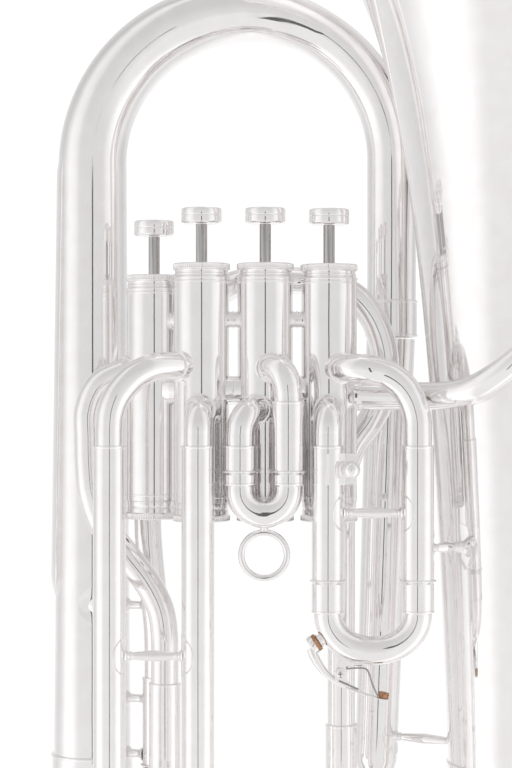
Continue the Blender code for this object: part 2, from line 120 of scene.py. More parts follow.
def silver_plate():
    """Mirror silver: a long faint waviness from buffing, fine haze, and a warm breath of tarnish."""
    made, shader = node_material("silver_plate", (0.965, 0.946, 0.942), 0.88, 0.05)
    links = made.node_tree.links
    waves = object_noise(made, 26.0, 1.0)
    haze = object_noise(made, 90.0, 4.0)
    links.new(ramp_between(made, haze.outputs["Fac"], 0.025, 0.075), shader.inputs["Roughness"])
    links.new(
        mix_colours(made, haze.outputs["Fac"], (0.972, 0.955, 0.952), (0.955, 0.932, 0.925)),
        shader.inputs["Base Color"])
    bump(made, shader, waves.outputs["Fac"], 0.00022)
    return made


def turned_steel():
    """Grey stem steel, brushed lengthwise."""
    made, shader = node_material("turned_steel", (0.5, 0.485, 0.475), 1.0, 0.22)
    streaks = object_noise(made, 900.0, 3.0, (1, 1, 0.03))
    made.node_tree.links.new(
        ramp_between(made, streaks.outputs["Fac"], 0.14, 0.32), shader.inputs["Roughness"])
    made.node_tree.links.new(
        mix_colours(made, streaks.outputs["Fac"], (0.4, 0.385, 0.375), (0.6, 0.585, 0.575)),
        shader.inputs["Base Color"])
    return made


def spring_steel():
    made, shader = node_material("spring_wire", (0.42, 0.41, 0.4), 1.0, 0.35)
    wear = object_noise(made, 400.0, 3.0)
    made.node_tree.links.new(
        ramp_between(made, wear.outputs["Fac"], 0.28, 0.5), shader.inputs["Roughness"])
    return made


def cork():
    """Natural cork: brown with darker pores."""
    made, shader = node_material("cork", (0.5, 0.27, 0.15), 0.0, 0.85)
    links = made.node_tree.links
    grain = object_noise(made, 900.0, 5.0)
    links.new(
        mix_colours(made, grain.outputs["Fac"], (0.24, 0.11, 0.055), (0.56, 0.3, 0.17), 0.36, 0.52),
        shader.inputs["Base Color"])
    bump(made, shader, grain.outputs["Fac"], 0.00025)
    return made


FINISHES = {
    "silver_plate": silver_plate(),
    "valve_steel": turned_steel(),
    "spring_steel": spring_steel(),
    "cork": cork(),
}

# Making pieces

SHARP = math.radians(38)


def piece(name, vertices, faces, body="horn", replaces=(), slot="silver_plate"):
    """A smooth mesh piece from points of the valve block's frame."""
    mesh = bpy.data.meshes.new(name)
    mesh.from_pydata([tuple(p) for p in place(vertices)], [], faces)
    shape = bmesh.new()
    shape.from_mesh(mesh)
    bmesh.ops.remove_doubles(shape, verts=shape.verts, dist=2e-6)
    bmesh.ops.recalc_face_normals(shape, faces=shape.faces)
    shape.to_mesh(mesh)
    shape.free()
    mesh.shade_smooth()
    mesh.set_sharp_from_angle(angle=SHARP)
    mesh.materials.append(FINISHES[slot])
    made = bpy.data.objects.new(name, mesh)
    bpy.context.scene.collection.objects.link(made)
    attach(made, body)
    if replaces:
        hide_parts(*replaces)
    return made


def smooth(rows, per_span=12):
    """A Catmull-Rom curve through rows of x, y, z and radius."""
    rows = np.array(rows, float)
    rows = np.vstack((2 * rows[0] - rows[1], rows, 2 * rows[-1] - rows[-2]))
    found = []
    for a, b, c, d in zip(rows, rows[1:], rows[2:], rows[3:]):
        for t in np.arange(per_span) / per_span:
            found.append(
                b
                + 0.5 * t * (c - a)
                + t * t * (a - 2.5 * b + 2 * c - 0.5 * d)
                + t**3 * (1.5 * (b - c) + 0.5 * (d - a))
            )
    return [*found, rows[-2]]


def with_radius(radius, *points):
    return [(*point, radius) for point in points]


def leg(x, y, stops):
    return [(x, y, z, radius) for z, radius in stops]


def bead(z, base, height, proud, steps=8):
    """A half-round ring on a vertical run, from its upper to its lower edge: stops of height and radius."""
    return [
        (z + height / 2 * math.cos(t), base + proud * math.sin(t))
        for t in np.linspace(0, math.pi, steps + 1)
    ]


def u_bend(start, end, height, radius, depth=None, steps=40):
    """A bend below that height, between two legs seen from above: a half circle unless depth is given."""
    start, end = np.array(start), np.array(end)
    middle, reach = (start + end) / 2, (end - start) / 2
    size = np.linalg.norm(reach)
    found = []
    for angle in np.linspace(0, math.pi, steps + 1):
        x, y = middle - reach * math.cos(angle)
        found.append((x, y, height - (depth or size) * math.sin(angle), radius))
    return found


def frames_along(points):
    """A tangent and two cross directions at each point, carried along without twist."""
    distinct = [0]
    for i in range(1, len(points)):
        if np.linalg.norm(points[i] - points[distinct[-1]]) > 0.05:
            distinct.append(i)
    anchors = points[distinct]
    tangents = np.gradient(anchors, axis=0)
    tangents /= np.linalg.norm(tangents, axis=1)[:, None]
    side = np.cross(tangents[0], (0, 1, 0) if abs(tangents[0][1]) < 0.9 else (1, 0, 0))
    side /= np.linalg.norm(side)
    sides = [side]
    for tangent in tangents[1:]:
        side = side - tangent * np.dot(side, tangent)
        side /= np.linalg.norm(side)
        sides.append(side)
    owner = np.searchsorted(distinct, np.arange(len(points)), side="right") - 1
    tangents, sides = tangents[owner], np.array(sides)[owner]
    return tangents, sides, np.cross(tangents, sides)


def ring_faces(first, second, count):
    return [
        (first + i, first + (i + 1) % count, second + (i + 1) % count, second + i) for i in range(count)
    ]


def sweep(name, route, sides=56, lips=(None, None), flat=1.0, **rest):
    """A round skin along a route of x, y, z and radius.

    A lip turns an end inwards to that radius and a little way back, as a tube's mouth; without one
    the end gets a cap. flat scales the section across the route's plane.
    """
    route = np.array(route, float)
    points, radii = route[:, :3], route[:, 3]
    tangents, across, over = frames_along(points)
    turn = np.linspace(0, 2 * math.pi, sides, endpoint=False)

    def ring(i, radius, back=0.0):
        centre = points[i] + tangents[i] * back
        return centre + radius * (
            np.cos(turn)[:, None] * across[i] + flat * np.sin(turn)[:, None] * over[i]
        )

    rings = [ring(i, radii[i]) for i in range(len(points))]
    last = len(points) - 1
    if lips[0]:
        rings = [ring(0, lips[0], 7.0), ring(0, lips[0])] + rings
    if lips[1]:
        rings += [ring(last, lips[1]), ring(last, lips[1], -7.0)]
    vertices = np.vstack(rings)
    faces = []
    for i in range(len(rings) - 1):
        faces += ring_faces(i * sides, (i + 1) * sides, sides)
    if not lips[0]:
        faces.append(tuple(range(sides))[::-1])
    if not lips[1]:
        faces.append(tuple(range((len(rings) - 1) * sides, len(rings) * sides)))
    return piece(name, vertices, faces, **rest)


def rounded(profile, size=0.4, steps=4, closed=False):
    """The profile with each corner turned into a small arc."""
    profile = [np.array(p, float) for p in profile]
    count = len(profile)
    found = []
    for i, corner in enumerate(profile):
        if not closed and i in (0, count - 1):
            found.append(corner)
            continue
        before, after = profile[i - 1] - corner, profile[(i + 1) % count] - corner
        lengths = np.linalg.norm(before), np.linalg.norm(after)
        if min(lengths) < 1e-6:
            found.append(corner)
            continue
        reach = min(size, 0.48 * lengths[0], 0.48 * lengths[1])
        start, end = corner + before / lengths[0] * reach, corner + after / lengths[1] * reach
        for t in np.linspace(0, 1, steps + 1):
            found.append((1 - t) ** 2 * start + 2 * t * (1 - t) * corner + t * t * end)
    return [tuple(p) for p in found]


def lathe(name, centre, profile, direction=(0, 0, 1), steps=96, closed=False, wave=None, **rest):
    """A profile of radius and height turned about an axis. wave(angle, radius, height) changes a radius."""
    turn = np.array(Vector(direction).to_track_quat("Z", "Y").to_matrix())
    angles = np.linspace(0, 2 * math.pi, steps, endpoint=False)
    vertices = []
    for radius, height in profile:
        for angle in angles:
            r = radius + (wave(angle, radius, height) if wave else 0)
            vertices.append((r * math.cos(angle), r * math.sin(angle), height))
    vertices = np.array(vertices) @ turn.T + np.array(centre, float)
    faces = []
    rows = len(profile)
    for i in range(rows if closed else rows - 1):
        faces += ring_faces(i * steps, (i + 1) % rows * steps, steps)
    if not closed:
        if profile[0][0] > 0:
            faces.append(tuple(range(steps))[::-1])
        if profile[-1][0] > 0:
            faces.append(tuple(range((rows - 1) * steps, rows * steps)))
    return piece(name, vertices, faces, **rest)


def plate(name, outline, low, high, bevel=0.35, lean=0.0, **rest):
    """A flat outline of x and z, with thickness from low to high along y and rounded edges.

    lean is how far y grows with x, for a plate that faces a little to the right.
    """
    count = len(outline)
    vertices = [(x, y + lean * x, z) for y in (low, high) for x, z in outline]
    faces = [tuple(range(count)), tuple(range(count, 2 * count))[::-1]]
    faces += [(i, i + count, (i + 1) % count + count, (i + 1) % count) for i in range(count)]
    edge = piece(name, vertices, faces, **rest).modifiers.new("Edge", "BEVEL")
    edge.width, edge.segments, edge.limit_method = bevel * MM, 3, "ANGLE"
    edge.angle_limit = math.radians(40)


def saddle_disc(name, x, y, z, radius, towards, size=11.6, taper=0.0):
    """A thin round plate that lies on a tube, on its side towards a point. taper is how the tube widens upwards."""
    facing = math.atan2(towards[1] - y, towards[0] - x)
    shape = [(0, 0.25), (size - 0.15, 0.25), (size, 0.1), (size, -0.4)]
    count = 72
    vertices, faces = [], []
    for reach, lift in shape:
        for angle in np.linspace(0, 2 * math.pi, count, endpoint=False):
            around = facing + reach * math.cos(angle) / radius
            rise = reach * math.sin(angle)
            out = radius + taper * rise + lift
            vertices.append((x + out * math.cos(around), y + out * math.sin(around), z + rise))
    for i in range(len(shape) - 1):
        faces += ring_faces(i * count, (i + 1) * count, count)
    piece(name, vertices, faces)


def curved_plate(name, x, y, reach, ends, facing, half, sunk, corner, **rest):
    """A thin plate bent round an upright tube, from the upper to the lower of two ends.

    reach(z) is the radius of its outer face, half its half width along the tube's skin, sunk how far
    its edges drop towards the tube, and corner the radius of its four corners.
    """
    top, bottom = ends
    rows, columns, soft = 72, 28, 0.35
    vertices, faces = [], []
    for i in range(rows + 1):
        z = top + (bottom - top) * (1 - math.cos(math.pi * i / rows)) / 2
        near = min(z - bottom, top - z)
        inwards = max(0.0, 1 - near / corner)
        width = half - corner * (1 - math.sqrt(1 - inwards**2))
        radius = reach(z)
        for j in range(columns + 1):
            along = -math.cos(math.pi * j / columns)
            inside = min(1.0, min(width * (1 - abs(along)), near) / soft)
            drop = sunk if inside == 0 else soft * (1 - math.sqrt(1 - (1 - inside) ** 2))
            around = facing + width * along / radius
            out = radius - drop
            vertices.append((x + out * math.cos(around), y + out * math.sin(around), z))
    wide = columns + 1
    for i in range(rows):
        for j in range(columns):
            a = i * wide + j
            faces.append((a, a + 1, a + wide + 1, a + wide))
    return piece(name, vertices, faces, **rest)


# Sizes shared with the CAD model. Radii come first, then places.

TUBE, SLEEVE, SLIDE_LEG = 7.6, 8.7, 7.0
CASING, PISTON, STEM = 15.0, 12.8, 3.1
INSIDE_CASING = 12.95  # how far in a round tube has to start to meet the casing all round
PISTON_END = -36.5  # the height of its lower face
VALVES = {1: (39.4, 0.0), 2: (5.0, 0.0), 3: (-29.4, 0.0), 4: (-56.0, 22.0)}
VALVE_DROP = {1: 1.2, 2: 0.6, 3: 0.6, 4: 5.9}  # how much lower each top cap sits
FRONT, BACK = -27.0, 60.0  # the planes of the front slides and of the big branches
BELL_AXIS = (145.3, 16.0)
LEFT_BRANCH = -92.8
BOTTOM_JOINT = -222.0

# Valves


def knurl(teeth, depth, low, high, reach):
    """Fine upright ridges round a rim: only where the height and radius are on the rim's outer face."""
    def wave(angle, radius, height):
        if low < height < high and radius > reach:
            return -depth * (0.5 - 0.5 * math.cos(teeth * angle)) ** 2
        return 0
    return wave


def valve(number):
    x, y = VALVES[number]
    drop = VALVE_DROP[number]
    name = f"valve_{number}"
    top, bottom, bore = 58.55 - drop, -63.85, 13.8
    shell = [(bore, top), (CASING - 0.15, top), (CASING, top - 0.15)]
    shell += [(r, z) for bead_at in (top - 0.8, top - 2.8) for z, r in bead(bead_at, CASING, 1.2, 0.5)]
    shell += [(r, z) for z, r in bead(-60.8, CASING, 1.1, 0.25)]
    shell += [(CASING, bottom + 0.15), (CASING - 0.15, bottom), (bore, bottom)]
    lathe(f"{name}_casing_shell", (x, y, 0), shell, closed=True, replaces=[f"{name}_casing"])

    seat = 58.6
    cap = rounded([
        (3.9, 65.7), (14.9, 65.7), (15.4, 65.2), (15.4, 62.6), (14.9, 62.1), (14.3, 61.9), (14.3, 60.3),
        (14.75, 60.1), (14.75, 59.2), (14.35, 59.0), (14.35, seat), (13.2, seat), (13.2, 55.2), (12.2, 55.2),
        (12.2, 63.6), (3.9, 63.6),
    ], 0.22, 3, closed=True)
    lathe(
        f"{name}_top_cap_turned", (x, y, -drop), cap, closed=True, steps=504,
        wave=knurl(72, 0.5, 62.7, 65.1, 15.0), replaces=[f"{name}_top_cap"])

    cap = rounded([
        (13.2, -60.5), (13.2, -63.9), (14.6, -63.9), (14.6, -66.6), (14.2, -66.9), (14.2, -67.4), (14.6, -67.7),
        (14.6, -70.2), (15.5, -70.7), (15.5, -73.5), (15.0, -74.0), (3.0, -74.0), (3.0, -71.5), (12.2, -71.5),
        (12.2, -60.5),
    ], 0.22, 3, closed=True)
    lathe(
        f"{name}_bottom_cap_turned", (x, y, 0), cap, closed=True, steps=504,
        wave=knurl(72, 0.5, -73.4, -70.9, 15.2), replaces=[f"{name}_bottom_cap"])

    body = rounded([
        (0, 86.9 - drop), (STEM, 86.9 - drop), (STEM, 54.6 - drop), (PISTON, 54.6 - drop), (PISTON, PISTON_END),
        (0, PISTON_END)], 0.4, 3)
    lathe(f"{name}_piston_turned", (x, y, 0), body, body=name, replaces=[f"{name}_piston"], slot="valve_steel")

    rim, low, high = 10.95, 87.2, 95.6
    middle = (low + high) / 2 + 0.2
    shape = [(0, high - 0.35)]
    shape += [(rim * t, high - 0.35 + 0.35 * t**3) for t in np.linspace(0.1, 0.86, 12)]
    shape += rounded([
        (rim * 0.9, high), (rim - 0.4, high - 0.1), (rim, high - 0.8)], 0.5, 4)
    shape += rounded([
        (rim, middle + 0.9), (rim, middle + 0.26), (rim - 0.25, middle), (rim, middle - 0.26), (rim, low + 0.9),
        (rim - 0.9, low), (STEM + 1.2, low), (0, low)], 0.12, 3)
    lathe(f"{name}_button_turned", (x, y, -drop), shape, body=name, replaces=[f"{name}_button"])

    coil, turns, wire = 9.8, 6, 0.6
    floor, foot, head = -71.5, -70.6, PISTON_END - 0.9
    route = []
    for t in np.linspace(0, 1, turns * 28 + 1):
        angle = 2 * math.pi * turns * t
        route.append((x + coil * math.cos(angle), y + coil * math.sin(angle), foot + t * (head - foot), wire))
    spring = sweep(f"{name}_spring_coil", route, 12, replaces=[f"{name}_spring"], slot="spring_steel")
    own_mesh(spring)


for number in VALVES:
    valve(number)


def between(first, second, height, inset):
    """The two facing points of neighbouring casings at a height, and the way between them."""
    start, end = np.array((*VALVES[first], height)), np.array((*VALVES[second], height))
    way = (end - start) / np.linalg.norm(end - start)
    return start + way * inset, end - way * inset, way


for first, second in ((1, 2), (2, 3), (3, 4)):
    start, end, way = between(first, second, -3.5, INSIDE_CASING)
    length = float(np.linalg.norm(end - start))
    waist = [(TUBE + 0.55, 0), (TUBE + 0.25, length / 2), (TUBE + 0.55, length)]
    lathe(
        f"knuckle_{first}_{second}_sleeve", start, rounded(waist), way, 64, replaces=[f"knuckle_{first}_{second}"])
    start, end, way = between(first, second, 34.5, CASING - 1)
    length = float(np.linalg.norm(end - start))
    foot = [(4.9, 0), (4.9, 1.1), (4.5, 1.5), (4.5, length / 2 - 0.8), (4.8, length / 2 - 0.5)]
    waist = foot + [(r, length - z) for r, z in foot[::-1]]
    lathe(f"casing_stay_{first}_{second}", start, rounded(waist, 0.3), way, 48)


def from_casing(number, route):
    """The route from where it leaves a valve's casing."""
    centre = VALVES[number]
    outside = next(i for i, p in enumerate(route) if math.dist(p[:2], centre) > INSIDE_CASING)
    return route[outside:]


def port_collar(name, number, towards, height):
    """The short sleeve soldered round a tube where it leaves a casing, with a fine edge."""
    x, y = VALVES[number]
    way = np.array((towards[0] - x, towards[1] - y, 0.0))
    way /= np.linalg.norm(way)
    start = np.array((x, y, height)) + way * INSIDE_CASING
    profile = [(TUBE, 0), (TUBE + 0.75, 0.3), (TUBE + 0.75, 4.5), (TUBE - 0.2, 4.7)]
    lathe(name, start, rounded(profile, 0.12), way, 64)


# Slides


def sleeve(x, y, top, bottom):
    """The outer slide tube below its ferrule: a bead at the top and a rolled ring at the mouth."""
    stops = [(top + 0.9, TUBE), *bead(top, SLEEVE, 1.5, 0.25), (top - 1.2, SLEEVE)]
    stops += [(bottom + 1.6, SLEEVE), *bead(bottom + 0.8, SLEEVE, 1.4, 1.35), (bottom, SLEEVE)]
    return leg(x, y, stops)


def bow(name, node, start, end, inside, sleeve_end, ferrule_end, centre, radius=TUBE, depth=None, body=None):
    """The moving part of a slide: two legs, a ferrule on each, and the bend."""
    def side(x, y):
        stops = [(inside, SLIDE_LEG), (sleeve_end - 0.6, SLIDE_LEG), (sleeve_end - 0.6, SLEEVE - 0.35)]
        stops += [(sleeve_end - 1.0, SLEEVE), (ferrule_end + 1.6, SLEEVE), *bead(ferrule_end + 0.7, SLEEVE, 1.3, 0.2)]
        stops += [(ferrule_end - 0.2, radius + 0.5), (ferrule_end - 0.5, radius)]
        return leg(x, y, stops)
    bend = u_bend(start, end, min(centre, ferrule_end - 1.0), radius, depth)
    return sweep(name, side(*start) + bend + side(*end)[::-1], lips=(SLIDE_LEG - 0.7,) * 2, body=body, replaces=[node])


SLIDE_1 = ((38.0, FRONT), (85.2, FRONT))
SLIDE_2 = ((-8.4, FRONT), (17.0, FRONT))
SLIDE_3 = ((-77.3, FRONT), (-30.6, FRONT))
SLIDE_4 = ((-50.1, 22.0), (-55.0, 46.0))
TUNING = ((47.0, 24.3), (68.1, BACK))
ELBOW = -33.2
MOUTH = (None, SLIDE_LEG + 0.25)

upper = from_casing(1, smooth(with_radius(
    TUBE, (43.8, -8, 8.2), (46, -16, 8.4), (50, -23.5, 8.4), (58, FRONT, 8), (68, FRONT, 5.6),
    (76.5, FRONT, -0.2), (82, FRONT, -8.2), (84.8, FRONT, -17.5), (85.2, FRONT, -26))))
sweep("slide_1_upper_skin", [*upper, *sleeve(*SLIDE_1[1], ELBOW, -104.4)], lips=MOUTH, replaces=["slide_1_upper_tube"])
lower = from_casing(1, smooth(with_radius(
    TUBE, (39.3, -8, -13.4), (39, -16, -13.6), (38.4, -23, -16.4), (38.1, -26.6, -22), (38, FRONT, -27))))
sweep("slide_1_lower_skin", [*lower, *sleeve(*SLIDE_1[0], ELBOW, -104.4)], lips=MOUTH, replaces=["slide_1_lower_tube"])
BEND_1, DEPTH_1 = -121.6, 19.2
bow("slide_1_bow_skin", "slide_1_bow", *SLIDE_1, -40, -104.4, -120.6, BEND_1, depth=DEPTH_1, body="slide_1")

upper = from_casing(2, smooth(with_radius(
    TUBE, (6.5, -8, 7.8), (8.2, -15, 8.8), (11, -21.3, 8.6), (14.4, -25.4, 5), (16.5, -26.9, -1.2),
    (17, FRONT, -8))))
sweep("slide_2_upper_skin", [*upper, *sleeve(*SLIDE_2[1], -9.8, -46.9)], lips=MOUTH, replaces=["slide_2_upper_tube"])
lower = from_casing(2, smooth(with_radius(
    TUBE, (2.4, -8, -13.4), (0, -16, -13.5), (-4.4, -23.4, -15.6), (-7.6, -26.6, -21.5), (-8.4, FRONT, -27))))
sweep("slide_2_lower_skin", [*lower, *sleeve(*SLIDE_2[0], ELBOW, -46.9)], lips=MOUTH, replaces=["slide_2_lower_tube"])
bow("slide_2_bow_skin", "slide_2_bow", *SLIDE_2, -34.8, -46.9, -53.3, -55.9, body="slide_2")

upper = from_casing(3, smooth(with_radius(
    TUBE, (-33, -4.5, 9.3), (-38.5, -8.3, 9.5), (-45, -13, 9.6), (-52.6, -17.6, 9.2), (-59.1, -21, 7.1),
    (-66, -24, 2.6), (-72.8, -26, -5.6), (-76.4, FRONT, -14.8), (-77.3, FRONT, -24))))
sweep("slide_3_upper_skin", [*upper, *sleeve(*SLIDE_3[0], ELBOW, -215)], lips=MOUTH, replaces=["slide_3_upper_tube"])
lower = from_casing(3, smooth(with_radius(
    TUBE, (-29.5, -8, -13.4), (-29.8, -16, -13.6), (-30.3, -23, -16.4), (-30.5, -26.6, -22), (-30.6, FRONT, -27))))
sweep("slide_3_lower_skin", [*lower, *sleeve(*SLIDE_3[1], ELBOW, -215)], lips=MOUTH, replaces=["slide_3_lower_tube"])
bow("slide_3_bow_skin", "slide_3_bow", *SLIDE_3, -135, -215, -226, -228, body="slide_3")

front = from_casing(4, smooth(with_radius(
    TUBE, (-64, 22, 7.4), (-72, 22, 6.6), (-85.8, 22, -0.5), (-92.2, 22, -14.3), (-92.4, 22, -30),
    (-92.0, 22, -45), (-90.4, 22, -60), (-84.2, 22, -77.6), (-71.5, 22, -94), (-60, 22, -109),
    (-52.8, 22, -123.2), (-50.4, 22, -137), (-50.1, 22, -150))))
sweep("slide_4_front_skin", [*front, *sleeve(*SLIDE_4[0], -165, -214)], lips=MOUTH, replaces=["slide_4_front_tube"])
rear = from_casing(4, smooth(with_radius(
    TUBE, (-56, 30, -24.6), (-56.4, 38, -25.2), (-57.6, 44.8, -29), (-59, 47.6, -38), (-60, 47.5, -55),
    (-60.6, 45, -80), (-58.5, 44.6, -108), (-55.6, 45.6, -135), (-55, 46, -155))))
sweep("slide_4_rear_skin", [*rear, *sleeve(*SLIDE_4[1], -165, -214)], lips=MOUTH, replaces=["slide_4_rear_tube"])
bow("slide_4_bow_skin", "slide_4_bow", *SLIDE_4, -172, -214, -222, -224, body="slide_4")

outlet = from_casing(4, smooth(with_radius(
    TUBE, (-52, 28.9, 19.6), (-48, 35.9, 20.2), (-43, 42.4, 23.5), (-35.5, 43.6, 34), (-26, 38.5, 46),
    (-12, 29.5, 55), (5, 26.6, 56.8), (25, 26.4, 56.8), (40, 26.4, 55), (54, 26.4, 48.5), (64, 26.5, 37),
    (70, 26.5, 22), (71.5, 26.5, 7), (69.6, 26, -7), (62.6, 25, -21), (54, 24.5, -33), (48.8, 24.4, -47),
    (47.2, 24.3, -62), (47, 24.3, -80))))
sweep("outlet_skin", [*outlet, *sleeve(*TUNING[0], -188, -236)], lips=MOUTH, replaces=["outlet_tube"])
bow("tuning_slide_skin", "main_tuning_slide", *TUNING, -203, -236, -241, -242, 8.0, body="tuning_slide")

branch = [
    (76.5, BACK, 25.7, 13.8), (72.5, BACK, -90, 12.9), (68.6, BACK, -200, 12.0), *leg(*TUNING[1], [
        (-208, 11.95), (-213, 11.9), (-215, 11.4), (-219, 10.1), (-221, 9.5), *bead(-222, 9.2, 1.6, 0.5),
        (-223.2, 9.2), (-233.6, 9.2), *bead(-234.9, 9.2, 1.5, 0.75), (-236, 9.2)])]
sweep("first_branch_skin", branch, 72, lips=MOUTH, replaces=["first_branch"])

# Big bows and bell

ARC_X, ARC_Z = -5.1, 125.5
FERRULE_TOP, FERRULE_END = 47.4, 26.5
top = [(76.9, BACK, FERRULE_TOP - 3, 13.9), (77.0, BACK, 90, 13.9)]
for angle in np.linspace(0, math.pi, 97):
    size = 82.1 + 5.6 * angle / math.pi
    radius = 13.9 + 5.4 * float(np.interp(math.degrees(angle), (60, 117, 180), (0, 0.74, 1)))
    top.append((ARC_X + size * math.cos(angle), BACK, ARC_Z + size * math.sin(angle), radius))
top += leg(LEFT_BRANCH, BACK, [(40, 19.9), (-60, 20.5), (-145, 21.2), (-211, 21.9), (BOTTOM_JOINT + 0.6, 22.0)])
sweep("top_bow_skin", top, 96, replaces=["top_bow"])
band = [
    (76.7, BACK, z, r) for z, r in [
        (FERRULE_TOP + 0.3, 14.0), *bead(FERRULE_TOP - 0.8, 14.7, 1.6, 0.5), (FERRULE_TOP - 2, 14.7),
        (FERRULE_END + 2, 14.7), *bead(FERRULE_END + 0.9, 14.7, 1.6, 0.5), (FERRULE_END - 0.2, 14.0)]]
sweep("top_bow_ferrule_band", band, 96, replaces=["top_bow_ferrule"])

LOOP_X, LOOP = (LEFT_BRANCH + BELL_AXIS[0]) / 2, (BELL_AXIS[0] - LEFT_BRANCH) / 2
BOW_END = 39.6
low = leg(LEFT_BRANCH, BACK, [(BOTTOM_JOINT, 22.0)])
for angle in np.linspace(0, math.pi, 97):
    share = angle / math.pi
    depth = BACK + (BELL_AXIS[1] - BACK) * (1 - math.cos(angle)) / 2
    low.append((LOOP_X - LOOP * math.cos(angle), depth, BOTTOM_JOINT - 1.3 - LOOP * math.sin(angle),
                22.0 + (BOW_END - 22.0) * share**1.1))
low += leg(*BELL_AXIS, [(-218.3, BOW_END)])
sweep("bottom_bow_skin", low, 128, replaces=["bottom_bow"])


def ferrule(name, x, y, top, bottom, radius):
    """A band over a joint of two big tubes, with a bead at each edge."""
    stops = [(top + 0.2, radius - 0.9), *bead(top - 0.8, radius, 1.7, 0.55), (top - 2, radius)]
    stops += [(bottom + 2, radius), *bead(bottom + 0.9, radius, 1.7, 0.55), (bottom - 0.2, radius - 0.9)]
    sweep(name, leg(x, y, stops), 128)


ferrule("bottom_bow_left_ferrule", LEFT_BRANCH, BACK, -209, -233, 22.9)


def bell_radius(z):
    """The flare: the radius grows as a power of how near the height comes to a pole above the rim."""
    return 87.0 * (85.1 / (296.1 - z)) ** 0.435


def bell():
    rim_height = 271.6
    heights = rim_height - 3.0 - (rim_height - 3.0 + 218.0) * np.linspace(0, 1, 120) ** 1.9
    outer = [(bell_radius(z), z) for z in heights]
    inner = [(r - 0.7, z) for r, z in outer[::-1]]
    rim = bell_radius(rim_height)
    wire = [
        (rim - 1.4 + 2.1 * math.cos(t), rim_height - 2.1 + 2.1 * math.sin(t))
        for t in np.linspace(math.radians(125), math.radians(-165), 28)]
    lathe("bell_shell", (*BELL_AXIS, 0), wire + outer + inner, steps=192, closed=True, replaces=["bell"])


bell()
ferrule("bell_ferrule", *BELL_AXIS, -206, -230, 40.7)

GUARD_TOP, GUARD_BOTTOM = 132.0, -121.0
GUARD_SUNK = 2.8  # how far the guard's edges drop to the branch
GUARD_END = 14.0  # the length of its two tapered ends


def guard_reach(z):
    """The side guard's outer radius: wider with the branch below, and drawn in to it at both ends."""
    near = min(GUARD_TOP - z, z - GUARD_BOTTOM)
    widening = 3.6 * (GUARD_TOP - z) / (GUARD_TOP - GUARD_BOTTOM)
    return 20.0 + widening - GUARD_SUNK * max(0.0, 1 - near / GUARD_END) ** 2


curved_plate(
    "side_guard_plate", LEFT_BRANCH, BACK, guard_reach, (GUARD_TOP, GUARD_BOTTOM), math.pi, 13.0, GUARD_SUNK, 12.0,
    replaces=["side_guard"])

# Leadpipe and receiver

lead = from_casing(1, smooth([
    (47, 0, -6, TUBE), (56, -0.3, -6.1, TUBE), (70, -3.5, -6.5, TUBE), (83, -8.5, -6.5, 7.5), (91, -13, -6.3, 7.4),
    (98, -20, -6, 7.4), (106, -29.5, -5, 7.3), (115, -37, -2, 7.3), (125, -42, 4.5, 7.2), (135, -45, 12.6, 7.1),
    (150, -47, 26, 7.0), (166, -45, 43, 6.9), (182, -39.5, 60, 6.8), (198, -30, 76, 6.6), (210, -16, 88.5, 6.5),
    (216.5, -1, 96, 6.5), (218.4, 13, 99.4, 6.4), (218.4, 24, 100, 6.4)]))
sweep("leadpipe_skin", lead, replaces=["leadpipe"])
receiver = rounded([
    (6.4, 46), (8.0, 46), (8.9, 45), (8.9, 42), (8.0, 41), (7.5, 39), (8.0, 12), (8.2, 9), (9.0, 8), (9.0, 2.2),
    (8.2, 1.2), (7.0, 0), (5.2, 0)], 0.5, 4, closed=True)
lathe("receiver_turned", (218.4, 24, 100), receiver, (0, 1, 0), 72, closed=True, replaces=["mouthpiece_receiver"])

# Braces


def spindle(name, start, end, **rest):
    """A turned brace: flared feet, a small ring by each, and a double cone with a ridge in the middle."""
    length = float(np.linalg.norm(np.subtract(end, start)))
    half = [
        (3.9, -0.6), (3.4, 0.3), (2.3, 1.2), (1.9, 1.9), (2.5, 2.3), (2.6, 2.8), (2.0, 3.3), (1.8, 3.9),
        (2.1, 4.4), (3.0, length / 2 - 0.15)]
    profile = rounded([*half, *[(r, length - z) for r, z in half[::-1]]], 0.3, 3)
    lathe(name, start, profile, np.subtract(end, start), 48, **rest)


for name, slide, height in (("slide_1_brace", SLIDE_1, -68), ("slide_3_brace", SLIDE_3, -143.4)):
    left, right = slide
    spindle(
        f"{name}_spindle", (left[0] + SLEEVE, FRONT, height), (right[0] - SLEEVE, FRONT, height), replaces=[name])
    saddle_disc(f"{name}_left_disc", *left, height, SLEEVE, right)
    saddle_disc(f"{name}_right_disc", *right, height, SLEEVE, left)


def short_stay(name, start, end, start_radius, end_radius, height):
    """A short brace with trumpet feet between two upright tubes, each given by its axis and radius."""
    way = np.subtract(end, start)
    length = np.linalg.norm(way)
    way /= length
    first = (start[0] + start_radius * way[0], start[1] + start_radius * way[1], height)
    length -= start_radius + end_radius
    foot = [(4.6, -0.5), (4.2, 0.5), (3.1, 1.6), (2.4, 2.6), (2.3, length / 2)]
    profile = rounded(foot + [(radius, length - z) for radius, z in foot[::-1]], 0.5, 3)
    lathe(name, first, profile, (*way, 0), 48)


branch = (LEFT_BRANCH, BACK)
for name, height in (("upper", -124.5), ("lower", -177.0)):
    short_stay(f"slide_4_stay_{name}", branch, SLIDE_4[1], 21.4, TUBE, height)
short_stay("slide_4_stay_lowest", branch, SLIDE_4[1], 21.8, SLEEVE, -208)
short_stay("slide_3_stay", branch, SLIDE_3[0], 21.1, SLEEVE, -123.7)
saddle_disc("slide_3_stay_branch_disc", *branch, -123.7, 21.15, SLIDE_3[0], 10.6, -0.01)
saddle_disc("slide_3_stay_disc", *SLIDE_3[0], -123.7, SLEEVE, branch)


